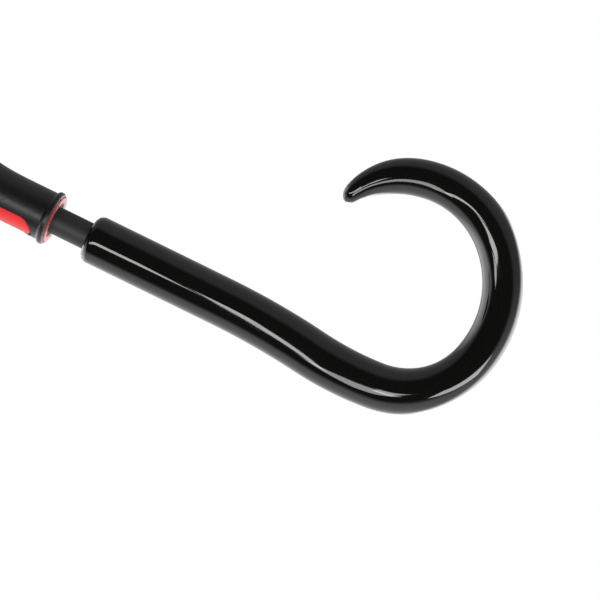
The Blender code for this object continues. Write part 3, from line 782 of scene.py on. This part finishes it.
def add_runner():
    body = carved(turned(runner_outline(), 144), runner_cutters(), 0.00025)
    add_piece("runner_body", body, RUNNER_BLACK, "runner", "runner_shell", 30)
    low, high = heights_of("runner_liner_lower")
    bore, outer, flange, face = 0.0078, RUNNER_BORE - 0.0003, RUNNER_BEAD - 0.0009, low - 0.0002
    ring = [(bore, high), (bore, face + 0.0022, 0.0003), (0.0094, face + 0.0004, 0.0008),
            (0.0106, face, 0.0008), (0.0120, face + 0.0001, 0.0008), (flange, face + 0.0010, 0.0005),
            (flange - 0.0004, RUNNER_LOW + 0.0004), (outer, RUNNER_LOW + 0.0004), (outer, high)]
    # Its darker red is painted shade, not a different plastic.
    liner = add_piece("runner_end_liner", turned(rounded(ring)), SHADED_LINER_RED, "runner",
                      "runner_liner_lower")
    liner.visible_glossy = False  # the handle's rim shows no red


def button_mesh():
    """A curved pad with a rounded lower end that fits the window, on the plate that keeps it in."""
    gap, reach, plate_back, plate_front, edge = 0.0003, 0.0086, 0.0019, 0.0004, 0.0007
    rows, columns = 132, 88
    low, high, half = BUTTON_LOW + gap, BUTTON_HIGH - gap, WINDOW_WIDTH / 2 - gap

    def place(row, share, rear):
        y, z = reach * share, low + (high - low) * row / rows
        below = max(0, WINDOW_LOW + WINDOW_WIDTH / 2 - z)
        inset = min(half - math.hypot(y, below), WINDOW_HIGH - gap - z)
        radius = PAD_FACE - (plate_back if rear else plate_front - PAD_RISE * smooth(inset, 0.0, edge))
        return math.sqrt(radius**2 - y * y), y, z

    return shell(rows, columns, place)


def add_button():
    """The pad, the open ring that latches it on the shaft, and the two arms between them."""
    middle = (BUTTON_LOW + BUTTON_HIGH) / 2 - 0.00125
    bore, rim, half, fillet = 0.0074, 0.0092, 0.002, 0.0004
    ring = turned(rounded([(bore, middle - half), (rim, middle - half, fillet), (rim, middle + half, fillet),
                           (bore, middle + half)]))
    ring = carved(ring, [box((0.0, -bore, middle - 2 * half), (0.0089, bore, middle + 2 * half))])
    arms = [box((-0.001, y - 0.0008, middle - 0.0018), (0.0066, y + 0.0008, middle + 0.0018))
            for y in (-0.0083, 0.0083)]
    mesh = moved(joined(button_mesh(), ring, *arms), around(BUTTON_AZIMUTH))
    add_piece("button_pad", mesh, RUNNER_RED, "button", "release_button")


# Top fittings


def add_top():
    """The cap, the ferrule and the stud at its end."""
    spring, rise, wide, narrow = CAP_LOW + 0.0016, 0.0010, 0.0180, 0.0098
    dome = [(narrow + (wide - narrow) * math.cos(a), spring + (CAP_HIGH - spring) * math.sin(a))
            for a in np.linspace(0, math.pi / 2, 18)]
    cap = [(SOCKET_RADIUS, CAP_LOW), (wide - 0.0010, CAP_LOW, 0.0005), (wide, CAP_LOW + rise, 0.0004), *dome,
           (SOCKET_RADIUS, CAP_HIGH)]
    neck, above_shaft = 0.0064, SHAFT_HIGH + 0.0003
    ferrule = [(SOCKET_RADIUS, FERRULE_LOW), (0.0100, FERRULE_LOW, 0.0006),
               (0.0100, FERRULE_LOW + 0.0034, 0.0008), (0.0088, FERRULE_LOW + 0.0046, 0.0008),
               (0.0070, FERRULE_LOW + 0.030, 0.004), (neck, FERRULE_HIGH - 0.0012, 0.0003),
               (neck - 0.0003, FERRULE_HIGH, 0.0002), (0, FERRULE_HIGH), (0, above_shaft),
               (SOCKET_RADIUS, above_shaft)]
    edge, joint = 0.0002, 0.0055
    stud = [(0, FERRULE_HIGH), (joint, FERRULE_HIGH), (joint, TIP_LOW), (neck, TIP_LOW, edge),
            (0.0066, TIP_LOW + 0.0006, edge), (0.0066, TIP_LOW + 0.0020, edge),
            (0.0062, TIP_LOW + 0.0024, edge), (0.0062, TIP_LOW + 0.0030, edge),
            (0.0065, TIP_LOW + 0.0034, edge), (0.0060, TIP_HIGH - 0.0020, 0.0006), (0.0050, TIP_HIGH, 0.0006),
            (0, TIP_HIGH)]
    for name, outline, surface, slot, node in (
            ("cap_dome", cap, FITTING_BLACK, "fitting_black", "top_cap"),
            ("ferrule_sleeve", ferrule, FITTING_BLACK, "fitting_black", "ferrule"),
            ("ferrule_stud", stud, CHROME, "ferrule_metal", "ferrule_tip")):
        add_piece(name, turned(rounded(outline)), surface, "shaft_assembly", node)


# Ribs and stretchers, modelled in the plane of +X and Z, then turned to their azimuth


ACROSS = Matrix.Rotation(math.pi / 2, 4, "X")  # lays what was turned about Z across a rib


def rib_point(along):
    """A point on a closed rib's axis, this far down its chord from its pivot, at azimuth 0."""
    bow = RIB_BOW * 4 * (along / RIB_LENGTH) * (1 - along / RIB_LENGTH)
    radial = along * math.sin(RIB_TILT) + bow * math.cos(RIB_TILT)
    height = -along * math.cos(RIB_TILT) + bow * math.sin(RIB_TILT)
    return RIB_PIVOT + Vector((radial, 0, height))


def rib_radius_at(height):
    return rib_point((RIB_PIVOT.z - height) / math.cos(RIB_TILT)).x


def eye(centre, thickness, radius):
    hole, half = 0.0009, thickness / 2
    ring = turned(rounded([(hole, -half, 0.0001), (radius, -half, 0.0003), (radius, half, 0.0003),
                           (hole, half, 0.0001)], 3), 32)
    return moved(ring, Matrix.Translation(centre) @ ACROSS)


def rib_meshes():
    """The rib's bar, and the metal on it: a sleeve and eye at the notch, a collar and lug half-way along."""
    start, end, steps = 0.0022, RIB_LENGTH - RIB_TIP_LENGTH, 60
    middles = [rib_point(start + (end - start) * k / steps) for k in range(steps + 1)]
    bar = swept(middles, [RIB_RADIUS] * len(middles))
    sleeve = swept([rib_point(0.002 + 0.001 * k) for k in range(15)], [0.00178] * 15, 20)
    top = eye(rib_point(0), 0.0026, 0.0020)
    collar = swept([rib_point(LUG_AT + offset) for offset in (-0.0045, -0.0041, 0.0041, 0.0045)],
                   [0.0020, 0.0024, 0.0024, 0.0020], 24)
    half_width, half_height = 0.0011, 0.0016
    lug = box((LUG_PIVOT.x + 0.0014, -half_width, LUG_PIVOT.z - half_height),
              (rib_point(LUG_AT).x - 0.0012, half_width, LUG_PIVOT.z + half_height), 0.0002)
    return bar, joined(sleeve, top, collar, lug, eye(LUG_PIVOT, 0.0024, 0.0018))


def stretcher_mesh():
    """A folded channel from its fork at the rib to its eye in the runner's crown."""
    reach = CROWN_PIVOT - LUG_PIVOT
    length = reach.length
    half, wall, depth = 0.0013, 0.00045, 0.0012
    profile = [(-depth, -half), (depth, -half), (depth, -half + wall), (-depth + wall, -half + wall),
               (-depth + wall, half - wall), (depth, half - wall), (depth, half), (-depth, half)]
    bm = bmesh.new()
    rings = [[bm.verts.new((x, y, -z)) for x, y in profile] for z in np.linspace(0.0070, length - 0.0012, 24)]
    bridge_rings(bm, rings)
    bm.faces.new(rings[0])
    bm.faces.new(rings[-1])
    parts = [mesh_of(bm, "channel")]
    tine, thin, ear = 0.0014, 0.0005, 0.00165
    disc = rounded([(0, -thin), (ear, -thin, 0.0002), (ear, thin, 0.0002), (0, thin)], 3)
    for side in (-1, 1):
        y, head = side * 0.0020, side * 0.0026
        parts.append(box((-tine, y - thin, -0.0085), (tine, y + thin, 0.0), 0.0002))
        parts.append(moved(turned(disc, 28), Matrix.Translation((0, y, 0)) @ ACROSS))
        parts.append(rod((0, head, 0), (0, head + side * 0.0004, 0), 0.0011, 20, 0.00015))
    parts.append(box((-tine, -0.0024, -0.0090), (tine, 0.0024, -0.0058), 0.0003))
    parts.append(rod((0, -0.0028, 0), (0, 0.0028, 0), 0.0006, 20, 0.0002))
    parts.append(eye((0, 0, -length), 0.0026, 0.0020))
    turn = Vector((0, 0, -1)).rotation_difference(reach).to_matrix().to_4x4()
    return moved(joined(*parts), Matrix.Translation(LUG_PIVOT) @ turn)


def rib_tip_mesh():
    base, end = rib_point(RIB_LENGTH - RIB_TIP_LENGTH + 0.0003), rib_point(RIB_LENGTH + 0.002)
    length = (end - base).length
    outline = rounded([(0, 0), (0.0021, 0, 0.0002), (0.0021, length * 0.30, 0.0003),
                       (0.0017, length * 0.36, 0.0004), (0.0017, length * 0.46, 0.0004),
                       (0.0022, length * 0.55, 0.0006), (0.0027, length * 0.78, 0.0016),
                       (0.0018, length, 0.0012), (0, length)])
    return moved(turned(outline, 32), laid(base, end))


def thread_mesh(places):
    """Turns of sewing thread that tie the canopy to a rib at these places along it."""
    thread = 0.0002
    outline = [(RIB_RADIUS + thread + thread * math.cos(a), thread * math.sin(a)) for a in turns_of(5)]
    return joined(*[moved(turned(outline, 20), Matrix.Translation(rib_point(along) + Vector((0, 0, height))))
                    for along in places for height in (-0.0008, -0.0003, 0.0002, 0.0007)])


def add_frame_of(index):
    number, turn = index + 1, around(azimuth_of(index))
    bar, fittings = rib_meshes()
    threads, stretcher = thread_mesh((0.150, 0.215, 0.390, 0.480)), stretcher_mesh()
    for name, mesh, surface, slot, body, node in (
            ("rib_bar", bar, FIBRE, "rib_fibre", "rib_arm", "rib"),
            ("rib_fittings", fittings, BLACK_STEEL, "stretcher_steel", "rib_arm", None),
            ("rib_end", rib_tip_mesh(), TIP_BLACK, "tip_nylon", "rib_arm", "rib_tip"),
            ("rib_threads", threads, THREAD, "canopy_fabric", "rib_arm", None),
            ("stretcher_channel", stretcher, BLACK_STEEL, "stretcher_steel", "stretcher_arm", "stretcher")):
        add_piece(f"{name}_{number}", moved(mesh, turn), surface, f"{body}_{number}",
                  node and f"{node}_{number}")


# Canopy. Each gore follows its own rib on one side and the next rib on the other. Closed, it is the outer
# fold of its panel: a flute between two ribs whose lip lies over the next gore. All its spread is in a narrow
# band along its middle, which opens like a fan.

GORE_TOP, GORE_HEM, HEM_RISE = 0.6625, 0.0860, 0.036
SPREAD_HALF = 0.0052
CLOTH = 0.0004
OPEN_SPREAD = 0.72  # of an open gore, sideways for each metre down
SEAM_OFFSET = 0.0023  # from a rib's axis to the cloth
LEAST_RADIUS = 0.0163  # of the cloth round the top notch
LIP_WIDTH, LIP_LIFT = 0.0046, 0.0013


def cloth_radius(height):
    return max(rib_radius_at(height) + SEAM_OFFSET, LEAST_RADIUS)


def unsmooth(weight):
    """The share of the way at which a smooth step has reached this weight."""
    low, high = 0.0, 1.0
    for _ in range(30):
        middle = (low + high) / 2
        low, high = (middle, high) if middle * middle * (3 - 2 * middle) < weight else (low, middle)
    return (low + high) / 2


def flute(index, height, side):
    """How far the cloth stands out between two ribs, at this height and side from -1 to 1."""
    depth, crease_depth = 0.0068, 0.0005
    along = (GORE_TOP - height) / (GORE_TOP - GORE_HEM)
    swell = depth * smooth(along, 0.02, 0.30) * (1 + 0.12 * math.sin(2.1 * index + 9 * along))
    swell *= 1 - 0.18 * smooth(along, 0.80, 1.0)
    lean = 0.16 * math.sin(1.7 * index + 5.0 * along)
    shape = max(0.0, math.cos(math.pi / 2 * min(1.0, abs(side - lean) / (1 + abs(lean))))) ** 1.3
    crease = crease_depth * math.sin(23 * side + 11 * along + index) * shape * smooth(along, 0.05, 0.3)
    return swell * shape + crease


def gore_section(index, height_share):
    """Points across a closed gore at one share of the way down, with azimuth 0 in its middle.

    Each comes with its place in the open cloth and its distances from the nearer rib's seam and from the hem.
    """
    half_step = STEP / 2
    base = cloth_radius(GORE_TOP + (GORE_HEM - GORE_TOP) * height_share)
    edge = base * math.sin(half_step)
    wave = 1 + 0.25 * math.sin(6.5 * height_share + 1.3 * index)
    lip = LIP_WIDTH * smooth(height_share, 0.0, 0.15) * wave
    before, spread_columns, after = 9, 32, 14
    sides = [-edge + (edge - SPREAD_HALF) * k / before for k in range(before)]
    sides += [SPREAD_HALF * (2 * unsmooth(k / spread_columns) - 1) for k in range(spread_columns + 1)]
    sides += [SPREAD_HALF + (edge + lip - SPREAD_HALF) * k / after for k in range(1, after + 1)]
    points, places = [], []
    for y in sides:
        weight = smooth(y, -SPREAD_HALF, SPREAD_HALF)
        hem = GORE_HEM + HEM_RISE * 4 * weight * (1 - weight)
        height = GORE_TOP + (hem - GORE_TOP) * height_share
        over = smooth(y, edge - 0.004, edge + 0.0005) * LIP_LIFT * smooth(height_share, 0.0, 0.08)
        radius = cloth_radius(height) + flute(index, height, min(1.0, max(-1.0, y / edge))) + over
        angle = math.asin(y / base) if y <= edge else half_step + (y - edge) / base
        points.append(Vector((radius * math.cos(angle), radius * math.sin(angle), height)))
        down = GORE_TOP - height
        spread = OPEN_SPREAD * down
        to_seam = min(abs(y + edge) + weight * spread, abs(y - edge) + (1 - weight) * spread)
        to_hem = (1 - height_share) * (GORE_TOP - hem)
        places.append((y + (weight - 0.5) * spread, down, 0, to_seam, to_hem, 0))
    return points, places


def gore_mesh(index):
    """The gore as a skin, thicker along its turned hem, with the two attributes that its material reads."""
    rows, hem_rows = 96, 3
    bm = bmesh.new()
    outer, places = [], []
    for row in range(rows + 1):
        points, in_cloth = gore_section(index, 1 - (1 - row / rows) ** 1.12)
        outer.append([bm.verts.new(point) for point in points])
        places += in_cloth
    grid_faces(bm, outer)
    bm.normal_update()
    inner = []
    for row, line in enumerate(outer):
        thickness = CLOTH * (1.9 if row >= rows - hem_rows else 1.0)
        inner.append([bm.verts.new(vertex.co - thickness * vertex.normal) for vertex in line])
    grid_faces(bm, inner)
    rim_faces(bm, outer, inner)
    mesh = mesh_of(bm, "gore")
    both_faces = np.array(places * 2)
    for name, values in (("cloth", both_faces[:, :3]), ("sewing", both_faces[:, 3:])):
        mesh.attributes.new(name, "FLOAT_VECTOR", "POINT").data.foreach_set("vector", values.ravel())
    return mesh


def add_gore(index):
    number = index + 1
    azimuth = azimuth_of(index) + STEP / 2
    gore = new_piece(f"canopy_gore_{number}", moved(gore_mesh(index), around(azimuth)), CANOPY, 60)
    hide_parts(f"canopy_panel_{number}")
    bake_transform(gore)


def petal_mesh():
    """One eighth of the cloth skirt under the cap, at azimuth 0, with a scalloped lower edge."""
    rows, columns, thickness = 16, 16, 0.0005
    length, scallop, top_radius, flare, ripple = 0.0122, 0.0016, 0.0173, 0.0005, 0.0002

    def place(row, share, rear):
        down, angle = row / rows, share * STEP / 2
        height = CAP_LOW + 0.0002 - (length - scallop * share**2) * down
        radius = top_radius + (flare + ripple * math.cos(math.pi * share)) * down - (thickness if rear else 0)
        return radius * math.cos(angle), radius * math.sin(angle), height

    return shell(rows, columns, place)


def add_rosette():
    """The cloth rosette that closes the canopy's top under the cap, one petal for each rib."""
    for index in range(RIB_COUNT):
        mesh = moved(petal_mesh(), around(azimuth_of(index)))
        petal = new_piece(f"canopy_rosette_{index + 1}", mesh, ROSETTE, 50)
        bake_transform(petal)


# The tie strap and its press fastener lie over one gore, on its azimuth

STRAP_WIDTH = 0.016


def seen_along(name, direction):
    """The CAD node's points as (distance out in this direction, height)."""
    points = [nodes[name].matrix_world @ vertex.co for vertex in nodes[name].data.vertices]
    return [(point.dot(direction), point.z) for point in points]


def strap_mesh(direction):
    """A doubled strip with thicker sewn edges, a round lower end, and rows of stitches."""
    half, rows, columns = STRAP_WIDTH / 2, 150, 28
    outer = {}
    for out, height in seen_along("tie_strap", direction):
        outer[round(height, 4)] = max(out, outer.get(round(height, 4), 0))
    heights = sorted(outer)
    face = np.interp(np.linspace(STRAP_LOW, STRAP_HIGH, rows + 1), heights, [outer[h] for h in heights])

    def surface(row, share, lift):
        height = STRAP_LOW + (STRAP_HIGH - STRAP_LOW) * row / rows
        below = min(1.0, max(0.0, STRAP_LOW + half - height) / half)
        y = share * half * max(0.12, math.sqrt(1 - below * below))
        slack = 0.00025 * math.sin(0.21 * row + 1.5 * share) * smooth(rows - row, 2, 25)
        return Vector((face[row] + slack + lift, y, height))

    def place(row, share, rear):
        hem = smooth(abs(share), 0.70, 0.80) * (1 - smooth(abs(share), 0.93, 1.0) * 0.7)
        return surface(row, share, -0.0009 if rear else 0.0003 * hem)

    thread = 0.0002
    stitches = [rod(surface(row, share, 0.0003), surface(row + 1, share, 0.0003), thread, 8)
                for row in range(8, rows - 1, 2) for share in (-0.84, 0.84)]
    stitches += [rod(surface(row, share, 0.0001), surface(row, share + 0.16, 0.0001), thread, 8)
                 for row in (rows - 2, rows - 9) for share in np.arange(-0.7, 0.6, 0.22)]
    return shell(rows, columns, place), joined(*stitches)


def snap_mesh(height):
    """A press fastener's rolled ring round its sunk middle, from its back face out to this height."""
    radius, sunk, centre = 0.0055, height * 0.45, height * 0.8
    return turned(rounded([(0, 0), (radius, 0, 0.0002), (radius, height * 0.55, 0.0003),
                           (radius * 0.86, height, 0.0004), (radius * 0.66, height, 0.0003),
                           (radius * 0.55, sunk, 0.0003), (radius * 0.30, sunk, 0.0002),
                           (radius * 0.24, centre, 0.0002), (0, centre)]), 64)


def add_strap():
    low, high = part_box("tie_strap")
    direction = Vector(((low.x + high.x) / 2, (low.y + high.y) / 2, 0)).normalized()
    turn = around(math.atan2(direction.y, direction.x))
    cloth, sewing = strap_mesh(direction)
    arm, gore = "canopy_arm_5", "canopy_gore_5"
    strap = add_piece("strap_cloth", moved(cloth, turn), WEBBING, arm, "tie_strap", 50)
    stitches = add_piece("strap_stitches", moved(sewing, turn), THREAD, arm)
    for name, node in (("strap_socket", "snap_socket"), ("canopy_stud", "snap_stud")):
        outs, heights = zip(*seen_along(node, direction))
        back, front = min(outs), max(outs)
        place = turn @ Matrix.Translation((back, 0, (min(heights) + max(heights)) / 2))
        snap = moved(snap_mesh(front - back), place @ Matrix.Rotation(math.pi / 2, 4, "Y"))
        add_piece(name, snap, NICKEL, arm, node)


def finish_node(name, surface):
    """Gives a CAD node that stays in view its material."""
    mesh = nodes[name].data
    mesh.materials.clear()
    mesh.materials.append(surface)
    mesh.shade_smooth()
    mesh.set_sharp_from_angle(angle=math.radians(35))


def main():
    bpy.context.scene.view_settings.view_transform = "Standard"
    add_camera()
    add_world()
    add_lights()
    add_floor()
    add_handle()
    add_shaft()
    add_runner()
    add_button()
    add_top()
    for index in range(RIB_COUNT):
        add_frame_of(index)
        add_gore(index)
    add_rosette()
    add_strap()
    for name, surface in (("shaft_end_plug", WOOD), ("handle_pin", STEEL), ("top_notch", FITTING_BLACK),
                          ("notch_ring_wire", STEEL), ("button_spring", STEEL),
                          ("runner_liner_upper", RUNNER_RED)):
        finish_node(name, surface)


main()
